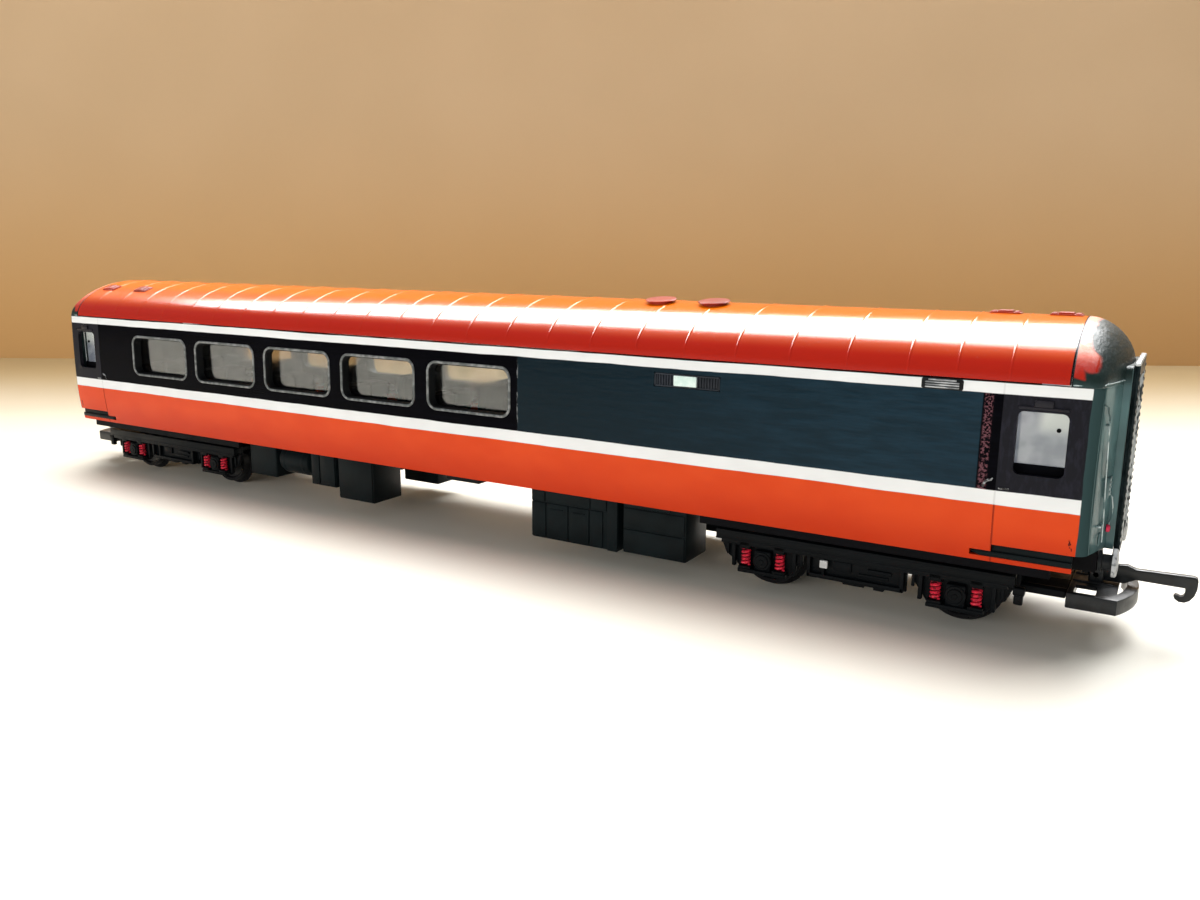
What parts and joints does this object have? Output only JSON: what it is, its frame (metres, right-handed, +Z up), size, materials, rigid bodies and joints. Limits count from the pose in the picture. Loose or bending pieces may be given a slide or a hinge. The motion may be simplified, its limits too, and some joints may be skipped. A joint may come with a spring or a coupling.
{
  "type": "model passenger coach",
  "caption": "Passenger coach for a model railway: hollow painted body, clip-on roof, glazed windows, seats, underframe boxes, swivelling bogies, turning wheels and lifting coupling hooks.",
  "frame": {"origin": "on the plane the wheel flanges rest on, below the middle of the coach", "axes": "+X along the coach towards its front end, +Z up; the side with the grille faces -Y"},
  "size_m": [0.2882, 0.0374, 0.0531],
  "materials": {
    "body_paint": "moulded plastic, hand painted: gloss orange below, black window band, off-white stripes",
    "roof_paint": "moulded plastic, brush painted in high gloss orange",
    "clear_glazing": "clear styrene, slightly cloudy",
    "interior_plastic": "plain moulded plastic",
    "weight_steel": "bare steel",
    "underframe_plastic": "satin blue-black moulded plastic",
    "gangway_plastic": "satin black moulded plastic",
    "trim_plastic": "satin black with thin paint",
    "indicator_paint": "pale mint paint",
    "bogie_plastic": "satin black moulded plastic",
    "wheel_plastic": "black moulded plastic",
    "window_frame": "thin silver paint on raised frames",
    "stripe_paint": "hand painted off-white line",
    "spring_paint": "hand painted gloss red",
    "end_paint": "brushed gloss dark green-grey paint"
  },
  "bodies": {
    "root": {"body_shell": "body_paint", "corridor_door_front": "body_paint", "corridor_door_rear": "body_paint", "roof": "roof_paint", "round_vent_inner": "roof_paint", "round_vent_outer": "roof_paint", "shell_vent_front_outer": "roof_paint", "shell_vent_front_inner": "roof_paint", "shell_vent_rear_outer": "roof_paint", "shell_vent_rear_inner": "roof_paint", "glazing_left": "clear_glazing", "glazing_right": "clear_glazing", "seat_unit": "interior_plastic", "ballast_weight": "weight_steel", "bogie_pin_front": "weight_steel", "bogie_pin_rear": "weight_steel", "underframe": "underframe_plastic", "relay_tray": "underframe_plastic", "alternator_case": "underframe_plastic", "air_reservoir": "underframe_plastic", "battery_box_left": "underframe_plastic", "battery_box_right": "underframe_plastic", "cooler_box_left": "underframe_plastic", "cooler_box_right": "underframe_plastic", "converter_box_left": "underframe_plastic", "converter_box_right": "underframe_plastic", "relay_box_left": "underframe_plastic", "relay_box_right": "underframe_plastic", "step_board_front_left": "underframe_plastic", "step_board_front_right": "underframe_plastic", "step_board_rear_left": "underframe_plastic", "step_board_rear_right": "underframe_plastic", "gangway_front": "gangway_plastic", "gangway_rear": "gangway_plastic", "kitchen_grille": "trim_plastic", "indicator_panel": "indicator_paint", "buffer_front_left": "bogie_plastic", "buffer_front_right": "bogie_plastic", "buffer_rear_left": "bogie_plastic", "buffer_rear_right": "bogie_plastic"},
    "bogie_front": {"bogie_frame_front": "bogie_plastic", "coupling_bar_front": "bogie_plastic"},
    "wheelset_front_outer": {"axle_front_outer": "weight_steel", "wheel_front_outer_left": "wheel_plastic", "wheel_front_outer_right": "wheel_plastic"},
    "wheelset_front_inner": {"axle_front_inner": "weight_steel", "wheel_front_inner_left": "wheel_plastic", "wheel_front_inner_right": "wheel_plastic"},
    "hook_front": {"coupling_hook_front": "bogie_plastic"},
    "bogie_rear": {"bogie_frame_rear": "bogie_plastic", "coupling_bar_rear": "bogie_plastic"},
    "wheelset_rear_outer": {"axle_rear_outer": "weight_steel", "wheel_rear_outer_left": "wheel_plastic", "wheel_rear_outer_right": "wheel_plastic"},
    "wheelset_rear_inner": {"axle_rear_inner": "weight_steel", "wheel_rear_inner_left": "wheel_plastic", "wheel_rear_inner_right": "wheel_plastic"},
    "hook_rear": {"coupling_hook_rear": "bogie_plastic"}
  },
  "joints": [
    {"name": "bogie_front_swivel", "type": "hinge", "parent": "root", "child": "bogie_front", "pos_m": [0.093, 0, 0.0115], "axis": [0, 0, 1], "range_deg": [-12, 12]},
    {"name": "wheelset_front_outer_roll", "type": "hinge", "parent": "bogie_front", "child": "wheelset_front_outer", "pos_m": [0.11, 0, 0.0069], "axis": [0, 1, 0], "continuous": true},
    {"name": "wheelset_front_inner_roll", "type": "hinge", "parent": "bogie_front", "child": "wheelset_front_inner", "pos_m": [0.076, 0, 0.0069], "axis": [0, 1, 0], "continuous": true},
    {"name": "hook_front_lift", "type": "hinge", "parent": "bogie_front", "child": "hook_front", "pos_m": [0.1296, 0, 0.0099], "axis": [0, -1, 0], "range_deg": [0, 20]},
    {"name": "bogie_rear_swivel", "type": "hinge", "parent": "root", "child": "bogie_rear", "pos_m": [-0.093, 0, 0.0115], "axis": [0, 0, 1], "range_deg": [-12, 12]},
    {"name": "wheelset_rear_outer_roll", "type": "hinge", "parent": "bogie_rear", "child": "wheelset_rear_outer", "pos_m": [-0.11, 0, 0.0069], "axis": [0, 1, 0], "continuous": true},
    {"name": "wheelset_rear_inner_roll", "type": "hinge", "parent": "bogie_rear", "child": "wheelset_rear_inner", "pos_m": [-0.076, 0, 0.0069], "axis": [0, 1, 0], "continuous": true},
    {"name": "hook_rear_lift", "type": "hinge", "parent": "bogie_rear", "child": "hook_rear", "pos_m": [-0.1296, 0, 0.0099], "axis": [0, 1, 0], "range_deg": [0, 20]}
  ]
}
